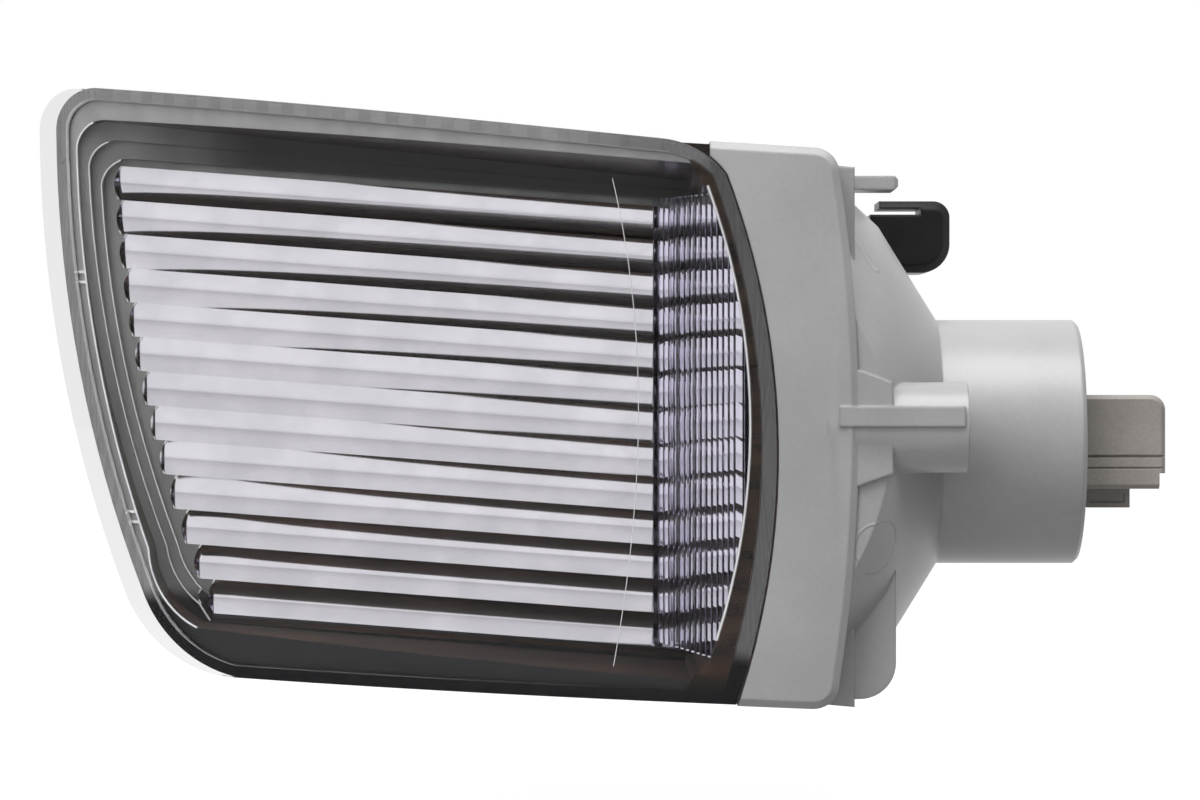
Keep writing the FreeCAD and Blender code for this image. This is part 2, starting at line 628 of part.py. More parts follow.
latch_blank = box("latch_blank", "latch_start", "-latch_y / 2", latch_foot, "latch_length", "latch_y",
                  "latch_drop + plug_wall")
latch = round_edges("latch", latch_blank, "latch_bevel", latch_corner, "Part::Chamfer")
latch_panel = box("latch_panel", "latch_start + 2 * latch_frame", "latch_sunk - latch_y / 2 - overcut",
                  latch_foot + " + latch_frame", "latch_length - 3 * latch_frame", "overcut",
                  "latch_drop - 2 * latch_frame")


def side_slot(name, drop, size):
    # A slot along the connector's outboard side.
    return box(name, "plug_start", "%s - plug_y / 2 - overcut" % size, "-%s - %s" % (drop, size), "plug_end",
               "overcut", size)


seams = [side_slot("seam_slot", "seam_drop", "seam"), side_slot("groove_slot", "groove_drop", "groove")]
foot_room = box("foot_room", "plug_end - foot_short", "-plug_y", "-plug_z", "plug_y", "2 * plug_y",
                "plug_z - foot_drop")
wedge_slot = box("wedge_slot", "bulb_seat - overcut", "-wedge_y / 2 - fit_gap", "-wedge_z / 2 - fit_gap",
                 "wedge_length + overcut + 2 * fit_gap", "wedge_y + 2 * fit_gap", "wedge_z + 2 * fit_gap")
pin_start = "(bulb_seat + overcut)"


def tip_edges(edge):
    return runs_along(V(0, 1, 0))(edge) and edge.CenterOfMass.x > number("plug_end - plug_depth + overcut")


channels = []
for side in (1, -1):
    channels.append(box("channel_%d" % len(channels), "bulb_seat - overcut",
                        "%d * pin_gap / 2 - pin_thick / 2 - fit_gap" % side, "-pin_wide / 2 - fit_gap",
                        "plug_end - bulb_seat", "pin_thick + 2 * fit_gap", "pin_wide + 2 * fit_gap"))
    pin_y = "%d * pin_gap / 2 - pin_thick / 2" % side
    strip = box("strip_%d" % len(channels), pin_start, pin_y, "-pin_wide / 2",
                "plug_end - plug_depth - %s" % pin_start, "pin_thick", "pin_wide")
    pin = box("pin_%d" % len(channels), "plug_end - plug_depth", pin_y, "-pin_wide / 2",
              "plug_depth - pin_inset", "pin_thick", "pin_wide")
    tip = round_edges("pin_tip_%d" % len(channels), pin, "pin_wide / 4", tip_edges)
    terminal = fuse("terminal_%d" % len(channels), strip, tip)
    piece("terminal_inboard" if side == 1 else "terminal_outboard", terminal)
socket_blank = fuse("socket_blank", neck, grip, stem, plug, latch, *lugs)
piece("bulb_socket", cut("socket_solid", socket_blank, mouth, wedge_slot, latch_panel, *seams, foot_room,
                         *channels))

gasket_inside = rod("gasket_inside", "%s - overcut" % web_back, "gasket + 3 * overcut",
                    "hole_radius - run_gap + fit_gap")
gasket_ring = rod("gasket_ring_blank", "%s + run_gap" % web_back, "gasket", "hole_radius + gasket_ring")
piece("socket_gasket", cut("gasket_solid", gasket_ring, gasket_inside))


# Bulb: amber glass, pressed foot with its wedge, filament on two leads

glass_end = "(bulb_seat - fit_gap - bulb_disc)"
glass_tube = rod("glass_tube", "-bulb_tip", "%s + bulb_tip" % glass_end, "bulb_radius")
glass_room = rod("glass_room", "bulb_bevel - bulb_tip", "bulb_tip + bulb_seat", "bulb_radius - bulb_glass")


def at_tip(edge):
    return edge.Curve.TypeId == "Part::GeomCircle" and edge.CenterOfMass.x < 0


glass = round_edges("glass_blank", glass_tube, "bulb_bevel", at_tip, "Part::Chamfer")
piece("bulb_glass", cut("glass_solid", glass, glass_room))
wedge = box("wedge", glass_end, "-wedge_y / 2", "-wedge_z / 2", "bulb_disc + fit_gap + wedge_length", "wedge_y",
            "wedge_z")
piece("bulb_foot", fuse("foot_solid", rod("foot_disc", glass_end, "bulb_disc", "bulb_radius"), wedge))
leads = []
for side in (1, -1):
    leads.append(rod("lead_%d" % len(leads), "-filament_x", "filament_x + %s" % glass_end, "lead_radius", 0,
                     "%d * filament_length / 2" % side))
coil = place(bind(doc.addObject("Part::Cylinder", "coil"), Radius="filament_radius",
                  Height="filament_length + 2 * lead_radius"), "-filament_x", 0,
             "-filament_length / 2 - lead_radius")
piece("bulb_filament", fuse("filament_solid", coil, *leads))


# Rubber boot on the housing's tongue

boot_profile = sketch_at("boot_profile", 0, "tongue_y + tongue_width / 2 + boot_wall")
boot_tip = "tongue_length + boot_wall"
boot_mouth = "(%s - boot_length)" % boot_tip
slot_head = "boot_head - boot_lip"
loop(boot_profile, [
    (boot_mouth + " + boot_lip_short", "boot_head"),
    (boot_tip + " - boot_round", "boot_head"),
    (boot_tip, "boot_head - boot_round", "boot_round"),
    (boot_tip, "boot_foot + boot_heel"),
    (boot_tip + " - boot_heel", "boot_foot", "boot_heel"),
    (boot_mouth, "boot_foot"),
    (boot_mouth, slot_head + " - boot_slot"),
    (boot_mouth + " + boot_slot_depth", slot_head + " - boot_slot"),
    (boot_mouth + " + boot_slot_depth", slot_head),
    (boot_mouth + " + boot_lip_short", slot_head),
])
boot_blank = extrude("boot_blank", boot_profile, V(0, -1, 0), "tongue_width + 2 * boot_wall")


def outboard_rim(edge):
    low = number("tongue_y - tongue_width / 2 - boot_wall")
    box_of = edge.BoundBox
    flat = abs(box_of.YMin - low) < SAME and abs(box_of.YMax - low) < SAME
    return flat and edge.CenterOfMass.x > number(boot_mouth + " + boot_slot_depth")


boot_body = round_edges("boot_body", boot_blank, "boot_edge", outboard_rim, "Part::Chamfer")
tongue_slot = box("tongue_slot", boot_mouth + " - overcut", "tongue_y - tongue_width / 2 - fit_gap",
                  "tongue_z - tongue / 2 - fit_gap", "overcut + boot_length - boot_wall + fit_gap",
                  "tongue_width + 2 * fit_gap", "tongue + 2 * fit_gap")
piece("tab_boot", cut("boot_solid", boot_body, tongue_slot))


doc.recompute()
for thing in doc.Objects:
    if "Invalid" in thing.State or "Error" in thing.State:
        raise RuntimeError("%s failed: %s" % (thing.Name, thing.State))
for part in parts:
    if part.Shape.isNull() or not part.Shape.isValid():
        raise RuntimeError("%s has no valid shape" % part.Label)
os.makedirs("parts", exist_ok=True)
for part in parts:
    part.Shape.exportStep("parts/%s.step" % part.Label)
    bounds = part.Shape.optimalBoundingBox()
    print("%-18s solids %d volume %9.1f  x %.1f..%.1f  y %.1f..%.1f  z %.1f..%.1f" % (
        part.Label, len(part.Shape.Solids), part.Shape.Volume, bounds.XMin, bounds.XMax,
        bounds.YMin, bounds.YMax, bounds.ZMin, bounds.ZMax))
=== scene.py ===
import math
import bmesh
import bpy
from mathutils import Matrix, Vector
from mathutils.bvhtree import BVHTree


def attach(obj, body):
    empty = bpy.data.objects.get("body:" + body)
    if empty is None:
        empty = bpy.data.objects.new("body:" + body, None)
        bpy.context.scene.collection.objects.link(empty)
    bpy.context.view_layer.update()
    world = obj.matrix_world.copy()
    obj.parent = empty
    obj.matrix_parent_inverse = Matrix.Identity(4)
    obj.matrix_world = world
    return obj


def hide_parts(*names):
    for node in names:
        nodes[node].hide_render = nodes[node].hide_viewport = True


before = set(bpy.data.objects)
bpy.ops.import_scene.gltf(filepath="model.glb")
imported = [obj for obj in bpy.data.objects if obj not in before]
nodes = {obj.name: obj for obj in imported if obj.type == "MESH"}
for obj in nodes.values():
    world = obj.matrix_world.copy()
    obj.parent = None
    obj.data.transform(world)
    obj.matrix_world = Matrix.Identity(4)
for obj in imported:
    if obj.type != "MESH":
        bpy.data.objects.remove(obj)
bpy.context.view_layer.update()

scene = bpy.context.scene
scene.view_settings.view_transform = "Standard"
lampBody = "lamp_body"
mm = 0.001
mergeGap = 2e-6                      # points nearer than this become one, m
datum = Vector((-21.4, 36.0, -3.0))  # bulb axis at the rear shoulder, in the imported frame, mm
print("stage: frame loaded,", len(nodes), "nodes")


def packed(x, y, z):
    return (Vector((x, y, z)) + datum) * mm


def local(point):
    return point / mm - datum


# small helpers for node trees

class Wire:
    def __init__(self, tree, socket=None):
        self.tree = tree
        self.socket = socket

    def join(self, value, socket):
        # a wire is linked, anything else is set as it is
        if isinstance(value, Wire):
            self.tree.links.new(value.socket, socket)
        else:
            socket.default_value = value

    def node(self, kind, settings=None, sockets=None, out=0):
        made = self.tree.nodes.new(kind)
        for name, value in (settings or {}).items():
            setattr(made, name, value)
        for name, value in (sockets or {}).items():
            self.join(value, made.inputs[name])
        return Wire(self.tree, made.outputs[out])

    def math(self, operation, first, second=0.0):
        return self.node("ShaderNodeMath", {"operation": operation}, {0: first, 1: second})

    def __add__(self, other):
        return self.math("ADD", self, other)

    def __radd__(self, other):
        return self.math("ADD", other, self)

    def __sub__(self, other):
        return self.math("SUBTRACT", self, other)

    def __rsub__(self, other):
        return self.math("SUBTRACT", other, self)

    def __mul__(self, other):
        return self.math("MULTIPLY", self, other)

    def __rmul__(self, other):
        return self.math("MULTIPLY", other, self)

    def __truediv__(self, other):
        return self.math("DIVIDE", self, other)

    def __pow__(self, other):
        return self.math("POWER", self, other)

    def ramp(self, low, high):
        # 0 at low, 1 at high, smooth between
        return self.node("ShaderNodeMapRange", {"interpolation_type": "SMOOTHSTEP"},
                         {"Value": self, "From Min": low, "From Max": high})

    def mixColour(self, first, second):
        # by number, because the node has several sockets of the same name
        return self.node("ShaderNodeMix", {"data_type": "RGBA"}, {0: self, 6: first, 7: second}, 2)

    def axis(self, letter):
        return self.node("ShaderNodeSeparateXYZ", {}, {"Vector": self}, letter)


def newMaterial(name):
    material = bpy.data.materials.new(name)
    material.use_nodes = True
    shader = material.node_tree.nodes["Principled BSDF"]
    return material, Wire(material.node_tree), shader


def feed(wires, shader, **values):
    for name, value in values.items():
        wires.join(value, shader.inputs[name.replace("_", " ")])


def noise(wires, scale, detail=2.0, stretch=(1, 1, 1), rough=0.5):
    spot = wires.node("ShaderNodeTexCoord", out="Object")
    spot = wires.node("ShaderNodeMapping", {}, {"Vector": spot, "Scale": stretch})
    return wires.node("ShaderNodeTexNoise", {},
                      {"Vector": spot, "Scale": scale, "Detail": detail, "Roughness": rough})


def spotAxes(wires):
    # place on the lamp in mm from the bulb axis
    spot = wires.node("ShaderNodeTexCoord", out="Object")
    return [spot.axis(letter) / mm - shift for letter, shift in zip("XYZ", datum)]


def relief(wires, height, edge=0.0):
    # height in mm; edge softens sharp corners by that radius in mm
    sockets = {"Height": height * mm, "Distance": 1.0}
    if edge:
        sockets["Normal"] = wires.node("ShaderNodeBevel", {"samples": 4}, {"Radius": edge * mm})
    return wires.node("ShaderNodeBump", {}, sockets)


def mingled(cloud, fine, fineShare):
    return cloud * (1.0 - fineShare) + fine * fineShare


def blotched(mask, look):
    # the dark colour where the mask is low, the light one where it is high
    return mask.ramp(*look["spread"]).mixColour(look["dark"], look["light"])


# finishes

moulding = {
    "dark": (0.285, 0.287, 0.285, 1),
    "light": (0.335, 0.337, 0.335, 1),
    "spread": (0.3, 0.7),
    "cloudScale": 45.0,
    "fineScale": 1100.0,
    "fineShare": 0.2,
    "roughness": 0.36,
    "roughnessSwing": 0.16,
    "grain": 0.02,
    "edge": 0.7,
    "lowMark": ((4.0, -40.0, -19.8), 5.4),                        # ejector ring: middle, radius
    "highMark": ((0.0, -29.0, 44.5), (5.6, -30.5, 35.5), 2.6),    # long mark: two ends, radius
    "markWidth": 0.35,
    "markHeight": 0.12,
}


def lengthOf(parts):
    x, y, z = parts
    return x.math("SQRT", x * x + y * y + z * z)


def lineAt(away, radius, width):
    # 1 at the radius, fading to 0 at width from it
    return 1.0 - away.math("ABSOLUTE", away - radius).ramp(0.0, width)


def ringMark(axes, middle, radius, width):
    far = [axis - at for axis, at in zip(axes, middle)]
    return lineAt(lengthOf(far), radius, width)


def longMark(axes, start, end, radius, width):
    run = [b - a for a, b in zip(start, end)]
    size = sum(step * step for step in run)
    far = [axis - at for axis, at in zip(axes, start)]
    share = (far[0] * run[0] + far[1] * run[1] + far[2] * run[2]) / size
    share = share.math("MINIMUM", share.math("MAXIMUM", share, 0.0), 1.0)
    off = [gap - share * step for gap, step in zip(far, run)]
    return lineAt(lengthOf(off), radius, width)


def greyMoulding(name, look):
    material, wires, shader = newMaterial(name)
    axes = spotAxes(wires)
    cloud = noise(wires, look["cloudScale"], detail=3.0)
    fine = noise(wires, look["fineScale"])
    ring = ringMark(axes, *look["lowMark"], look["markWidth"])
    marks = ring + longMark(axes, *look["highMark"], look["markWidth"])
    feed(wires, shader,
         Base_Color=blotched(mingled(cloud, fine, look["fineShare"]), look),
         Roughness=look["roughness"] + (cloud - 0.5) * look["roughnessSwing"],
         Normal=relief(wires, fine * look["grain"] + marks * look["markHeight"], look["edge"]))
    return material


housingGrey = greyMoulding("housingGrey", moulding)

ledge = {
    "dark": (0.165, 0.172, 0.164, 1),
    "light": (0.225, 0.235, 0.222, 1),
    # black: painted shade and dark reflection along the reflector's foot
    "black": (0.003, 0.003, 0.004, 1),
    "shade": (0.022, 0.021, 0.02, 1),
    "spread": (0.3, 0.7),
    "streakScale": 160.0,
    "streakStretch": (1, 1, 0.12),
    "fineScale": 1200.0,
    "fineShare": 0.2,
    "roughness": 0.34,
    "streakRoughness": 0.06,
    "blackRoughness": 0.2,
    "grain": 0.012,
    "edge": 0.25,
    "ceiling": 47.7,                # reflector's top edge at the shoulder
    "ceilingSlope": 0.075,
    "ceilingFade": (-1.0, 0.5),     # the shade comes in over these heights round that edge
    "shadeAlong": (-150.0, -118.0),     # and between these places along the lamp
    "floor": -45.4,                 # reflector's foot at the shoulder
    "floorSlope": 0.0816,
    "blackOver": (0.5, 4.5),        # painted shade and dark reflection: black up to the first height above the foot, grey from the second
}
flangeLedge = ledge | {
    "dark": (0.21, 0.215, 0.208, 1),
    "light": (0.27, 0.275, 0.265, 1),
}


def nearFoot(axes, look):
    # 1 where the painted black shade and dark reflection lie along the reflector's foot, 0 above
    return 1.0 - (axes[2] - look["floor"] + axes[0] * look["floorSlope"]).ramp(*look["blackOver"])


def ledgeFinish(name, look, shadeTop):
    material, wires, shader = newMaterial(name)
    axes = spotAxes(wires)
    streak = noise(wires, look["streakScale"], detail=3.0, stretch=look["streakStretch"])
    fine = noise(wires, look["fineScale"])
    grey = blotched(mingled(streak, fine, look["fineShare"]), look)
    # low carries the painted black shade and dark reflection along the foot
    low = nearFoot(axes, look)
    if shadeTop:
        above = (axes[2] - look["ceiling"] + axes[0] * look["ceilingSlope"]).ramp(*look["ceilingFade"])
        inward = axes[0].ramp(*look["shadeAlong"])
        grey = (above * inward).mixColour(grey, look["shade"])
    feed(wires, shader,
         Base_Color=low.mixColour(grey, look["black"]),
         Roughness=look["roughness"] + low * look["blackRoughness"] + streak * look["streakRoughness"],
         Normal=relief(wires, fine * look["grain"], look["edge"]))
    return material


flangeGrey = ledgeFinish("flangeGrey", flangeLedge, False)
treadGrey = ledgeFinish("treadGrey", ledge, True)

# painted shade and dark reflection on the lamp room's inner walls: near black, with brown streaks
paintedWallShade = {
    "dark": (0.005, 0.003, 0.002, 1),
    "light": (0.05, 0.028, 0.017, 1),
    "spread": (0.35, 0.75),
    "streakScale": 220.0,
    "streakStretch": (0.12, 1, 1),
    "streakHarshness": 0.65,
    "roughness": 0.12,
    "streakRoughness": 0.15,
    "footRoughness": 0.5,
    "gloss": 0.25,
}


def darkWall(name, look):
    # colours the walls with painted shade and brown streaks of painted reflection
    material, wires, shader = newMaterial(name)
    low = nearFoot(spotAxes(wires), ledge)
    streak = noise(wires, look["streakScale"], detail=4.0, stretch=look["streakStretch"],
                   rough=look["streakHarshness"])
    feed(wires, shader,
         Base_Color=blotched(streak, look),
         Roughness=look["roughness"] + streak * look["streakRoughness"] + low * look["footRoughness"],
         Specular_IOR_Level=look["gloss"])
    return material


innerDark = darkWall("innerDark", paintedWallShade)

coat = {
    "dark": (0.80, 0.79, 0.83, 1),
    "light": (0.89, 0.88, 0.92, 1),
    "spread": (0.35, 0.7),
    "cloudScale": 90.0,
    "rippleScale": 260.0,
    "rippleStretch": (0.12, 1, 1),
    "rippleHeight": 0.008,
    "roughness": 0.06,
    "roughnessSwing": 0.06,
}


def brightCoat(name, look):
    material, wires, shader = newMaterial(name)
    cloud = noise(wires, look["cloudScale"], detail=3.0)
    ripple = noise(wires, look["rippleScale"], detail=2.0, stretch=look["rippleStretch"])
    feed(wires, shader,
         Base_Color=blotched(cloud, look),
         Metallic=1.0,
         Roughness=look["roughness"] + cloud * look["roughnessSwing"],
         Normal=relief(wires, ripple * look["rippleHeight"]))
    return material


reflectorCoat = brightCoat("reflectorCoat", coat)


def clearMoulding(name, tint, roughness, bend=1.49):
    # bend is how strongly it bends light; a low one keeps the lamp's room clear to see
    material, wires, shader = newMaterial(name)
    feed(wires, shader, Base_Color=tint, Roughness=roughness, IOR=bend, Transmission_Weight=1.0)
    return material


lensClear = clearMoulding("lensClear", (0.82, 0.815, 0.825, 1), roughness=0.0, bend=1.14)
opticClear = clearMoulding("opticClear", (0.93, 0.91, 1.0, 1), roughness=0.0, bend=1.09)
bulbAmber = clearMoulding("bulbAmber", (1.0, 0.36, 0.05, 1), roughness=0.05)
footGlass = clearMoulding("footGlass", (0.9, 0.88, 0.82, 1), roughness=0.1)

rubber = {
    "dark": (0.002, 0.002, 0.002, 1),
    "light": (0.007, 0.006, 0.006, 1),
    "spread": (0.3, 0.7),
    "cloudScale": 120.0,
    "fineScale": 1500.0,
    "roughness": 0.3,
    "roughnessSwing": 0.12,
    "grain": 0.01,
    "edge": 0.9,
    "gloss": 0.2,
}


def darkRubber(name, look):
    material, wires, shader = newMaterial(name)
    cloud = noise(wires, look["cloudScale"], detail=3.0)
    fine = noise(wires, look["fineScale"])
    feed(wires, shader,
         Base_Color=blotched(cloud, look),
         Roughness=look["roughness"] + cloud * look["roughnessSwing"],
         Normal=relief(wires, fine * look["grain"], look["edge"]),
         Specular_IOR_Level=look["gloss"])
    return material


blackRubber = darkRubber("blackRubber", rubber)

sealant = {
    "dark": (0.2, 0.2, 0.195, 1),
    "light": (0.225, 0.225, 0.22, 1),
    "shade": (0.13, 0.13, 0.13, 1),
    "spread": (0.3, 0.7),
    "cloudScale": 200.0,
    "shadeAlong": (-60.0, -40.0),
    "roughness": 0.65,
    "roughnessSwing": 0.2,
    "gloss": 0.2,
}


def greySealant(name, look):
    material, wires, shader = newMaterial(name)
    cloud = noise(wires, look["cloudScale"], detail=3.0)
    axes = spotAxes(wires)
    shaded = axes[0].ramp(*look["shadeAlong"]).mixColour(blotched(cloud, look), look["shade"])
    # black along the reflector's foot is painted shade and dark reflection; the shade colour to the right is
    # painted shade
    feed(wires, shader,
         Base_Color=nearFoot(axes, ledge).mixColour(shaded, ledge["black"]),
         Roughness=look["roughness"] + cloud * look["roughnessSwing"],
         Specular_IOR_Level=look["gloss"])
    return material


sealantGrey = greySealant("sealantGrey", sealant)

taupe = {
    "dark": (0.215, 0.197, 0.18, 1),
    "light": (0.29, 0.267, 0.247, 1),
    "spread": (0.3, 0.7),
    "cloudScale": 80.0,
    "fineScale": 1600.0,
    "fineShare": 0.4,
    "roughness": 0.55,
    "roughnessSwing": 0.2,
    "grain": 0.03,
    "edge": 0.3,
}


def taupeMoulding(name, look):
    material, wires, shader = newMaterial(name)
    cloud = noise(wires, look["cloudScale"], detail=3.0)
    fine = noise(wires, look["fineScale"], detail=3.0)
    feed(wires, shader,
         Base_Color=blotched(mingled(cloud, fine, look["fineShare"]), look),
         Roughness=look["roughness"] + (fine - 0.5) * look["roughnessSwing"],
         Normal=relief(wires, fine * look["grain"], look["edge"]))
    return material


socketTaupe = taupeMoulding("socketTaupe", taupe)

metal = {
    "light": (0.8, 0.78, 0.74, 1),
    "spread": (0.3, 0.7),
    "streakScale": 400.0,
    "streakStretch": (0.2, 1, 1),
    "roughnessSwing": 0.1,
}
filament = metal | {"dark": (0.5, 0.49, 0.47, 1), "roughness": 0.3}
terminal = metal | {"dark": (0.7, 0.66, 0.58, 1), "roughness": 0.25}


def wireMetal(name, look):
    material, wires, shader = newMaterial(name)
    streak = noise(wires, look["streakScale"], detail=2.0, stretch=look["streakStretch"])
    feed(wires, shader,
         Base_Color=blotched(streak, look),
         Metallic=1.0,
         Roughness=look["roughness"] + streak * look["roughnessSwing"])
    return material


filamentMetal = wireMetal("filamentMetal", filament)
terminalMetal = wireMetal("terminalMetal", terminal)

# painted highlight: near-white metal for the thin lines on step edges, flange ribs and the lens's crease
highlightLine = {
    "dark": (0.82, 0.82, 0.82, 1),
    "light": (0.95, 0.95, 0.95, 1),
    "spread": (0.3, 0.7),
    "cloudScale": 300.0,
    "metallic": 0.7,
    "roughness": 0.15,
    "roughnessSwing": 0.1,
}


def paintedHighlight(name, look):
    material, wires, shader = newMaterial(name)
    cloud = noise(wires, look["cloudScale"])
    feed(wires, shader,
         Base_Color=blotched(cloud, look),
         Metallic=look["metallic"],
         Roughness=look["roughness"] + cloud * look["roughnessSwing"])
    return material


highlightWhite = paintedHighlight("highlightWhite", highlightLine)
print("stage: finishes made")


# CAD nodes that keep their own shape

carried = {
    "lens": lensClear,
    "lens_sealant": sealantGrey,
    "inner_optic": opticClear,
    "bulb_glass": bulbAmber,
    "bulb_foot": footGlass,
    "bulb_filament": filamentMetal,
    "bulb_socket": socketTaupe,
    "socket_gasket": blackRubber,
    "terminal_inboard": terminalMetal,
    "terminal_outboard": terminalMetal,
    "tab_boot": blackRubber,
}
for name, material in carried.items():
    nodes[name].data.materials.clear()
    nodes[name].data.materials.append(material)
for name in ("lens", "inner_optic", "bulb_glass"):
    nodes[name].visible_shadow = False


def newPiece(name, mesh, body, slot, *materials):
    piece = bpy.data.objects.new(name, mesh)
    scene.collection.objects.link(piece)
    for material in materials:
        mesh.materials.append(material)
    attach(piece, body)
    return piece


# housing: the moulded walls, sorted into outside, flange, ledge steps, inner walls and bowl

housing = {
    # points in the lamp's room; a face that one of them sees is inside
    "eyes": ((-15, 10, 0), (-40, 10, 5), (-70, 20, 5), (-100, 28, 10), (-130, 34, 20)),
    "eyeLift": 0.05,             # the look starts this far off the face
    "flangeAxis": (28.6, 237.4),
    "lensAxis": (28.6, 227.4),
    "lensRadius": 273.0,
    "flangeSlack": 0.15,         # how near to its curve a face of the flange lies
    "flangeTurn": -0.4,          # and how far it looks forward at least
    "flangeTo": -33.0,
    "lensTo": -12.0,
    "besideFrom": -40.0,         # band's faces beside the lens: from here to lensTo
    "besideGap": (-11.0, 0.6),   # and between these distances from the lens's curve
    "roomMiddle": (-80.0, 8.0),  # along and up
    "forward": -0.5,             # a face that looks forward more than this is a step
    "fluteWall": (44.03, 45.7),  # depth of the fluted wall
    "bowlFrom": -5.7,
    "bowlTo": 17.9,              # the socket's plate starts here; behind it all is bare plastic
    "sharpAngle": 28,
    "noseAngle": 1.0,            # a step edge turns outwards by more than this, radians
}
outside, flange, tread, inner, bowl = range(5)


def fromAxis(spot, axis):
    return math.hypot(spot.x - axis[0], spot.y - axis[1])


def onFlange(face, spot):
    off = abs(fromAxis(spot, housing["flangeAxis"]) - housing["lensRadius"])
    forward = face.normal.y < housing["flangeTurn"]
    return off < housing["flangeSlack"] and forward and spot.x < housing["lensTo"]


def besideLens(face, spot):
    near, far = housing["besideGap"]
    gap = fromAxis(spot, housing["lensAxis"]) - housing["lensRadius"]
    if not (near < gap < far and housing["besideFrom"] < spot.x < housing["lensTo"]):
        return False
    x, z = housing["roomMiddle"]
    inward = Vector((x - spot.x, 0, z - spot.z))
    return face.normal.y > housing["forward"] and face.normal.dot(inward) > 0


def seenInside(face, tree, eyes):
    start = face.calc_center_median() + face.normal * housing["eyeLift"] * mm
    for eye in eyes:
        aim = eye - start
        if face.normal.dot(aim) > 0 and tree.ray_cast(start, aim.normalized(), aim.length)[0] is None:
            return True
    return False


def faceClass(face, tree, eyes):
    spot = local(face.calc_center_median())
    if spot.x > housing["bowlTo"]:
        return outside
    # the flange's right part and the band's faces beside the lens take the inner walls' painted shade
    if onFlange(face, spot):
        return flange if spot.x < housing["flangeTo"] else inner
    if besideLens(face, spot):
        return inner
    if not seenInside(face, tree, eyes):
        return outside
    if spot.x > housing["bowlFrom"]:
        return bowl
    return tread if face.normal.y < housing["forward"] else inner


def sortHousing():
    mesh = nodes["housing"].data.copy()
    mesh.name = "housingWalls"
    mesh.materials.clear()
    work = bmesh.new()
    work.from_mesh(mesh)
    bmesh.ops.remove_doubles(work, verts=work.verts, dist=mergeGap)
    work.normal_update()
    tree = BVHTree.FromBMesh(work)
    eyes = [packed(*eye) for eye in housing["eyes"]]
    low, high = housing["fluteWall"]
    gone = []
    for face in work.faces:
        face.smooth = True
        face.material_index = faceClass(face, tree, eyes)
        depth = local(face.calc_center_median()).y
        if face.material_index == tread and low < depth < high:
            gone.append(face)
    bmesh.ops.delete(work, geom=gone, context="FACES")
    noses = []
    for edge in work.edges:
        if len(edge.link_faces) != 2:
            continue
        if edge.calc_face_angle() > math.radians(housing["sharpAngle"]):
            edge.smooth = False
        kinds = {face.material_index for face in edge.link_faces}
        if kinds <= {flange, tread, inner} and edge.calc_face_angle_signed() > housing["noseAngle"]:
            noses.append([vert.co.copy() for vert in edge.verts])
    work.to_mesh(mesh)
    work.free()
    print("stage: housing sorted,", len(gone), "flute faces left to the flutes,", len(noses), "step edges")
    return mesh, noses


wallMesh, stepNoses = sortHousing()
wallFinishes = (housingGrey, flangeGrey, treadGrey, innerDark, reflectorCoat)
walls = newPiece("housingWalls", wallMesh, lampBody, "housing_grey", *wallFinishes)
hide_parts("housing")


# reflector flutes: one patch for each, pointed at the left and tilted

flutes = {
    "count": 13,
    "top level": 54.1,
    "pitch": 7.1,
    "tilt": 4.3,
    "reflector left": 153.3,
    "full width": 149.6,
    "radius": 5.0,          # of the cut that gives each flute its outline
    "depth": 1.5,
    "hollow": 0.72,         # how deep the coated face bows in the middle flutes
    "more hollow": 0.42,    # added towards the top and foot
    "middle flute": 7.0,
    "nose": 4.0,
    "wall": 44.0,
    "sweep radius": 250.0,
    "sweep top": 66.5,
    "right end": -5.6,
}
flutePatch = {
    "along": 64,            # points along a flute and across it
    "across": 29,
    "crowding": 2.6,        # more points towards the nose
    "lap": 0.04,            # how far a flute laps over its outline
    "lift": 0.02,           # and stands behind the wall's face
}


def newTree(name, sizes):
    tree = bpy.data.node_groups.new(name, "GeometryNodeTree")
    tree.interface.new_socket("Geometry", in_out="INPUT", socket_type="NodeSocketGeometry")
    tree.interface.new_socket("Geometry", in_out="OUTPUT", socket_type="NodeSocketGeometry")
    keys = {}
    for size in sizes:
        kind = "NodeSocketInt" if size == "count" else "NodeSocketFloat"
        keys[size] = tree.interface.new_socket(size, in_out="INPUT", socket_type=kind).identifier
    entry = tree.nodes.new("NodeGroupInput")
    return tree, keys, {size: Wire(tree, entry.outputs[size]) for size in ["Geometry", *sizes]}


def captured(wires, shape, kind, value):
    # keeps a value on the points of a shape, for use after they have moved
    made = wires.tree.nodes.new("GeometryNodeCaptureAttribute")
    made.capture_items.new(kind, "kept")
    wires.join(shape, made.inputs["Geometry"])
    wires.join(value, made.inputs[1])
    return Wire(wires.tree, made.outputs["Geometry"]), Wire(wires.tree, made.outputs[1])


def dressed(tree, shape, material):
    wires = Wire(tree)
    smooth = wires.node("GeometryNodeSetShadeSmooth", {}, {"Geometry": shape})
    whole = wires.node("GeometryNodeSetMaterial", {}, {"Geometry": smooth, "Material": material})
    wires.join(whole, tree.nodes.new("NodeGroupOutput").inputs["Geometry"])


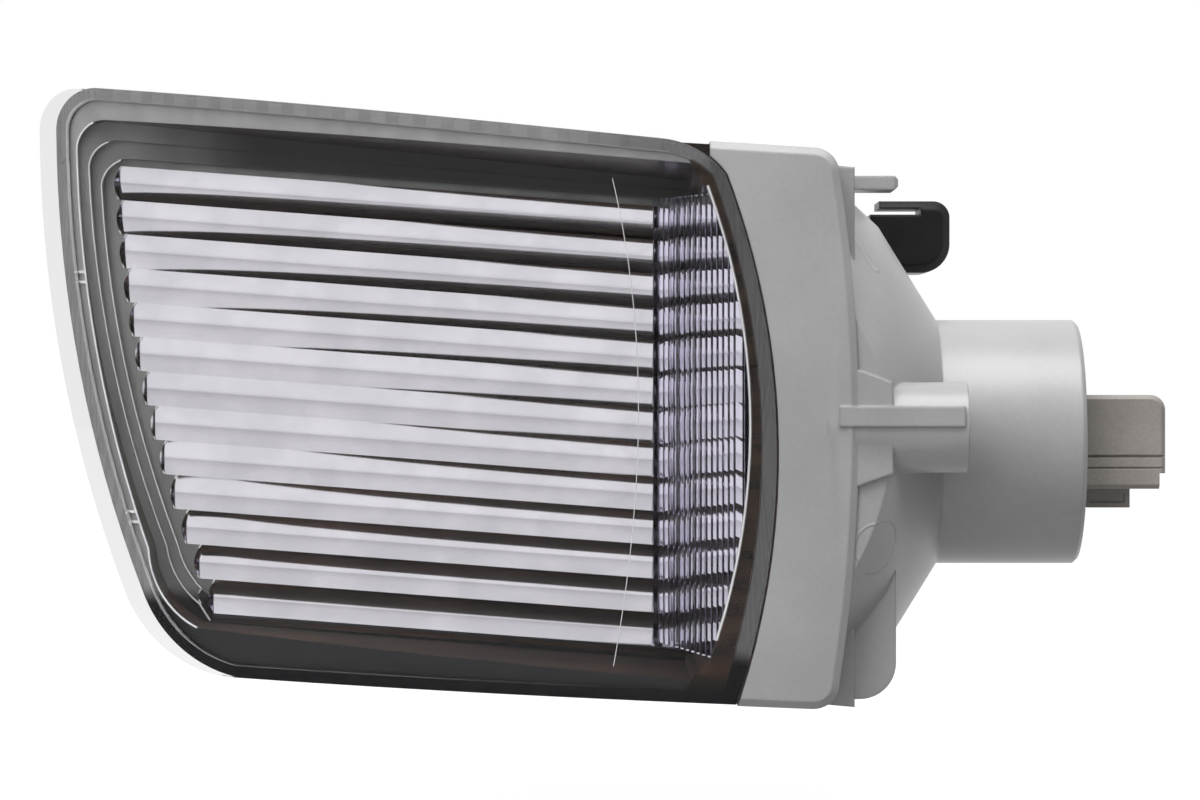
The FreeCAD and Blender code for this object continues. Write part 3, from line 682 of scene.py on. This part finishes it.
def fluteTree(sizes, patchSizes, material):
    tree, keys, size = newTree("reflectorFlutes", sizes)
    wires = Wire(tree)
    points = wires.node("GeometryNodePoints", {}, {"Count": size["count"]})
    points, index = captured(wires, points, "INT", wires.node("GeometryNodeInputIndex"))
    patch = wires.node("GeometryNodeMeshGrid", {},
                       {"Size X": 1.0, "Size Y": 2.0,
                        "Vertices X": patchSizes["along"], "Vertices Y": patchSizes["across"]})
    patch, place = captured(wires, patch, "VECTOR", wires.node("GeometryNodeInputPosition"))
    spread = wires.node("GeometryNodeInstanceOnPoints", {}, {"Points": points, "Instance": patch})
    whole = wires.node("GeometryNodeRealizeInstances", {}, {"Geometry": spread})
    along = place.axis("X") + 0.5
    across = place.axis("Y")

    # length: from the pointed tip on the swept line to the right end
    level = size["top level"] - size["pitch"] * index
    drop = size["sweep top"] - level
    sweep = size["sweep radius"] - wires.math("SQRT", size["sweep radius"] ** 2.0 - drop * drop)
    leftX = sweep - size["full width"]
    tipX = leftX - size["nose"] * size["depth"] / size["radius"]
    x = tipX + (size["right end"] - tipX) * along ** patchSizes["crowding"]

    # width: the cut's outline in the wall, no wider than the pitch
    halfPitch = size["pitch"] * 0.5
    axisDepth = size["radius"] - size["depth"]
    bow = size["radius"] * wires.math("MINIMUM", 1.0, 1.0 - (leftX - x) / size["nose"])
    half = wires.math("SQRT", wires.math("MAXIMUM", 0.0, bow * bow - axisDepth * axisDepth))
    wide = wires.math("MINIMUM", half + patchSizes["lap"], halfPitch)
    slope = wires.math("TANGENT", size["tilt"] * (math.pi / 180))
    z = level - slope * (x + size["reflector left"]) + across * wide

    # depth: a bow across the width, deeper towards the top and foot
    fullness = wide / halfPitch
    away = (index - size["middle flute"]) / (size["middle flute"] - 1.0)
    hollow = size["hollow"] + size["more hollow"] * away * away
    y = size["wall"] + patchSizes["lift"] + hollow * fullness * fullness * (1.0 - across * across)

    spot = wires.node("ShaderNodeCombineXYZ", {},
                      {letter: (value + shift) * mm for letter, value, shift in zip("XYZ", (x, y, z), datum)})
    dressed(tree, wires.node("GeometryNodeSetPosition", {}, {"Geometry": whole, "Position": spot}), material)
    return tree, keys


def grown(name, tree, keys, sizes, seed=None):
    # runs a tree on a seed mesh and keeps the result as a plain mesh
    holder = bpy.data.objects.new(name + "Tree", seed or bpy.data.meshes.new(name + "Seed"))
    scene.collection.objects.link(holder)
    modifier = holder.modifiers.new(name, "NODES")
    modifier.node_group = tree
    for key, size in sizes.items():
        modifier[keys[key]] = size
    bpy.context.view_layer.update()
    mesh = bpy.data.meshes.new_from_object(holder.evaluated_get(bpy.context.evaluated_depsgraph_get()))
    mesh.name = name
    holder.modifiers.clear()
    bpy.data.objects.remove(holder)
    return mesh


def facing(mesh, way):
    # turns faces so that they look along way
    work = bmesh.new()
    work.from_mesh(mesh)
    work.normal_update()
    for face in work.faces:
        if face.normal.dot(way) < 0:
            face.normal_flip()
    work.to_mesh(mesh)
    work.free()


fluteMesh = grown("reflectorFlutes", *fluteTree(flutes, flutePatch, reflectorCoat), flutes)
facing(fluteMesh, Vector((0, -1, 0)))
newPiece("reflectorFlutes", fluteMesh, lampBody, "reflector_coat")
print("stage: flutes,", len(fluteMesh.polygons), "faces")


# thin rounded lines in a painted highlight: step edges, ribs on the flange, and the fine line on the lens's
# inside

def lineTree(sizes, material):
    tree, keys, size = newTree("roundLine", sizes)
    wires = Wire(tree)
    line = wires.node("GeometryNodeMeshToCurve", {}, {"Mesh": size["Geometry"]})
    ring = wires.node("GeometryNodeCurvePrimitiveCircle", {},
                      {"Resolution": size["count"], "Radius": size["radius"]})
    rod = wires.node("GeometryNodeCurveToMesh", {},
                     {"Curve": line, "Profile Curve": ring, "Fill Caps": True})
    whole = wires.node("GeometryNodeRealizeInstances", {}, {"Geometry": rod})
    dressed(tree, whole, material)
    return tree, keys


def seedOf(name, runs):
    # a mesh of edges only, one chain for each run of points
    verts = []
    edges = []
    for run in runs:
        edges += [(len(verts) + n, len(verts) + n + 1) for n in range(len(run) - 1)]
        verts += run
    mesh = bpy.data.meshes.new(name + "Seed")
    mesh.from_pydata(verts, edges, [])
    work = bmesh.new()
    work.from_mesh(mesh)
    bmesh.ops.remove_doubles(work, verts=work.verts, dist=mergeGap)
    work.to_mesh(mesh)
    work.free()
    return mesh


def roundLine(name, runs, sizes, material, slot):
    mesh = grown(name, *lineTree(sizes, material), sizes, seedOf(name, runs))
    newPiece(name, mesh, lampBody, slot)
    print("stage:", name, len(mesh.polygons), "faces")


stepLines = {"count": 8, "radius": 0.25 * mm}
stepPlaces = {
    "foot": -38.0,          # the lines end above this
    "leftTo": -100.0,       # the left lines are left of this
    "leftSteep": 0.4,       # on edges that rise at least so much
    "rightFrom": -38.0,     # the right lines are right of this
    "rightTop": 48.5,       # and below this
    "rightSteep": 2.5,
}


def keptNose(nose):
    middle = local((nose[0] + nose[1]) / 2)
    run = nose[1] - nose[0]
    steep = abs(run.z) / max(abs(run.x), 1e-9)
    if middle.z <= stepPlaces["foot"]:
        return False
    if middle.x < stepPlaces["leftTo"]:
        return steep > stepPlaces["leftSteep"]
    atRight = middle.x > stepPlaces["rightFrom"] and middle.z < stepPlaces["rightTop"]
    return atRight and steep > stepPlaces["rightSteep"]


roundLine("stepLines", [nose for nose in stepNoses if keptNose(nose)], stepLines, highlightWhite, "housing_grey")

flangeRibs = {"count": 10, "radius": 0.42 * mm}
ribPlaces = {
    "levels": (34.9, 32.8, -14.7, -16.8),
    "left": 161.6,
    "right": 157.7,
    "behindLens": 10.0,     # depth of the flange behind the lens's face
    "steps": 5,
}


def sweptX(left, z):
    # the swept left line, moved to stand at left
    radius = flutes["sweep radius"]
    return -left + radius - math.sqrt(radius ** 2 - (flutes["sweep top"] - z) ** 2)


def lensY(x, inset):
    # depth of the lens face's parallel at x
    middleX, middleY = housing["lensAxis"]
    return middleY - math.sqrt((housing["lensRadius"] - inset) ** 2 - (x - middleX) ** 2)


def ribRun(z):
    start = sweptX(ribPlaces["left"], z)
    end = sweptX(ribPlaces["right"], z)
    steps = ribPlaces["steps"]
    places = [start + (end - start) * n / steps for n in range(steps + 1)]
    return [packed(x, lensY(x, 0) + ribPlaces["behindLens"], z) for x in places]


roundLine("flangeRibs", [ribRun(z) for z in ribPlaces["levels"]], flangeRibs, highlightWhite, "housing_grey")

lensLine = {"count": 6, "radius": 0.09 * mm}
lensLinePath = {
    "points": ((-46.5, 51.0), (-43.0, 31.4), (-41.5, 7.1), (-46.3, -43.0)),   # along and up
    "inset": 2.75,          # from the lens's face to its inside
    "steps": 40,
}


def between(path, z):
    # smooth line through the path's points
    levels = [level for x, level in path]
    total = 0.0
    for x, level in path:
        weight = 1.0
        for height in levels:
            if height != level:
                weight *= (z - height) / (level - height)
        total += x * weight
    return total


def lensRun(path):
    top = path["points"][0][1]
    foot = path["points"][-1][1]
    run = []
    for n in range(path["steps"] + 1):
        z = top + (foot - top) * n / path["steps"]
        x = between(path["points"], z)
        run.append(packed(x, lensY(x, path["inset"]), z))
    return run


roundLine("lensLine", [lensRun(lensLinePath)], lensLine, highlightWhite, "lens_clear")


# pale floor, white surround, soft lamps, camera

stage = {
    "floor": -0.075,
    "floorReach": 12.0,
    "floorRoughness": 0.9,
    "floorBase": (0.22, 0.22, 0.22, 1),     # the floor as it lights the lamp
    "floorGlow": 0.97,                      # and as it looks, with a tone that takes the shadow
    "floorTone": (0.14, 0.14, 0.14, 1),
    "tint": (0.98, 0.985, 1.0, 1),
    "under": 0.02,              # surround's light from below
    "over": 0.52,               # and from above
    "upSpan": (-0.4, 0.8),
    "rightLoss": 0.6,           # share of it that the right side lacks
    "rightSpan": (-0.1, 0.8),
    "frontLow": 0.35,           # how bright the room before the lamp looks in gloss, low down
    "frontHigh": 1.0,           # and high up
    "frontSpan": (-0.7, 0.5),
    "besideSpan": (-0.85, 0.0),     # from before the lamp round to its sides
    "camera": (-0.0704, -0.864, 0.0053),
    "lens": 135.0,
    "sensor": 36.0,
    "farEnd": 50,
}
lamps = {
    "topBox": {"place": (-0.05, -0.25, 0.75), "aim": (-0.05, 0.03, 0), "size": (0.9, 0.5), "power": 10.0},
    "frontBox": {"place": (-0.5, -0.8, 0.35), "aim": (-0.03, 0.03, 0), "size": (0.5, 0.7), "power": 3.0},
}
white = (1, 1, 1, 1)


def whiteToEye(wires):
    rays = ("Is Camera Ray", "Is Glossy Ray", "Is Transmission Ray")
    camera, gloss, through = [wires.node("ShaderNodeLightPath", out=ray) for ray in rays]
    return wires.math("MINIMUM", camera + gloss + through, 1.0)


def roomGlow(wires):
    # white to the eye and through glass; in gloss the room is dark before the lamp and bright round it
    way = wires.node("ShaderNodeTexCoord", out="Generated")
    beside = way.axis("Y").ramp(*stage["besideSpan"])
    high = way.axis("Z").ramp(*stage["frontSpan"])
    gloss = wires.node("ShaderNodeLightPath", out="Is Glossy Ray")
    front = stage["frontLow"] + high * (stage["frontHigh"] - stage["frontLow"])
    return 1.0 - gloss * (1.0 - front) * (1.0 - beside)


def shown(wires, plain, seen, end):
    # one shader for what lights the lamp, the other for what the eye, gloss and glass see
    plain = Wire(wires.tree, plain.outputs[0])
    mixed = wires.node("ShaderNodeMixShader", {}, {0: whiteToEye(wires), 1: plain, 2: seen})
    wires.join(mixed, wires.tree.nodes[end].inputs["Surface"])


def paleFloor():
    material, wires, shader = newMaterial("paleFloor")
    feed(wires, shader, Base_Color=stage["floorBase"], Roughness=stage["floorRoughness"])
    glow = wires.node("ShaderNodeEmission", {}, {"Color": white, "Strength": stage["floorGlow"]})
    lit = wires.node("ShaderNodeBsdfDiffuse", {}, {"Color": stage["floorTone"]})
    shown(wires, shader, wires.node("ShaderNodeAddShader", {}, {0: glow, 1: lit}), "Material Output")
    corners = ((-1, -1), (1, -1), (1, 1), (-1, 1))
    reach = stage["floorReach"]
    mesh = bpy.data.meshes.new("floor")
    mesh.from_pydata([(x * reach, y * reach, stage["floor"]) for x, y in corners], [], [(0, 1, 2, 3)])
    mesh.materials.append(material)
    floor = bpy.data.objects.new("floor", mesh)
    scene.collection.objects.link(floor)


def whiteWorld():
    world = bpy.data.worlds.new("whiteRoom")
    scene.world = world
    world.use_nodes = True
    wires = Wire(world.node_tree)
    base = world.node_tree.nodes["Background"]
    way = wires.node("ShaderNodeTexCoord", out="Generated")
    level = way.axis("Z").ramp(*stage["upSpan"]) * (stage["over"] - stage["under"]) + stage["under"]
    level = level * (1.0 - way.axis("X").ramp(*stage["rightSpan"]) * stage["rightLoss"])
    feed(wires, base, Color=stage["tint"], Strength=level)
    seen = wires.node("ShaderNodeBackground", {}, {"Color": white, "Strength": roomGlow(wires)})
    shown(wires, base, seen, "World Output")


def softLamp(name, place, aim, size, power):
    light = bpy.data.lights.new(name, "AREA")
    light.shape = "RECTANGLE"
    light.size, light.size_y = size
    light.energy = power
    lamp = bpy.data.objects.new(name, light)
    lamp.location = place
    lamp.rotation_euler = (Vector(aim) - Vector(place)).to_track_quat("-Z", "Y").to_euler()
    lamp.visible_transmission = False
    scene.collection.objects.link(lamp)
    return lamp


paleFloor()
whiteWorld()
softLamp("topBox", **lamps["topBox"])
frontBox = softLamp("frontBox", **lamps["frontBox"])
frontBox.visible_glossy = False

eye = bpy.data.cameras.new("photoCamera")
eye.lens = stage["lens"]
eye.sensor_width = stage["sensor"]
eye.clip_end = stage["farEnd"]
camera = bpy.data.objects.new("photoCamera", eye)
camera.location = stage["camera"]
camera.rotation_euler = (math.radians(90), 0, 0)
scene.collection.objects.link(camera)
scene.camera = camera
print("stage: camera and light set")
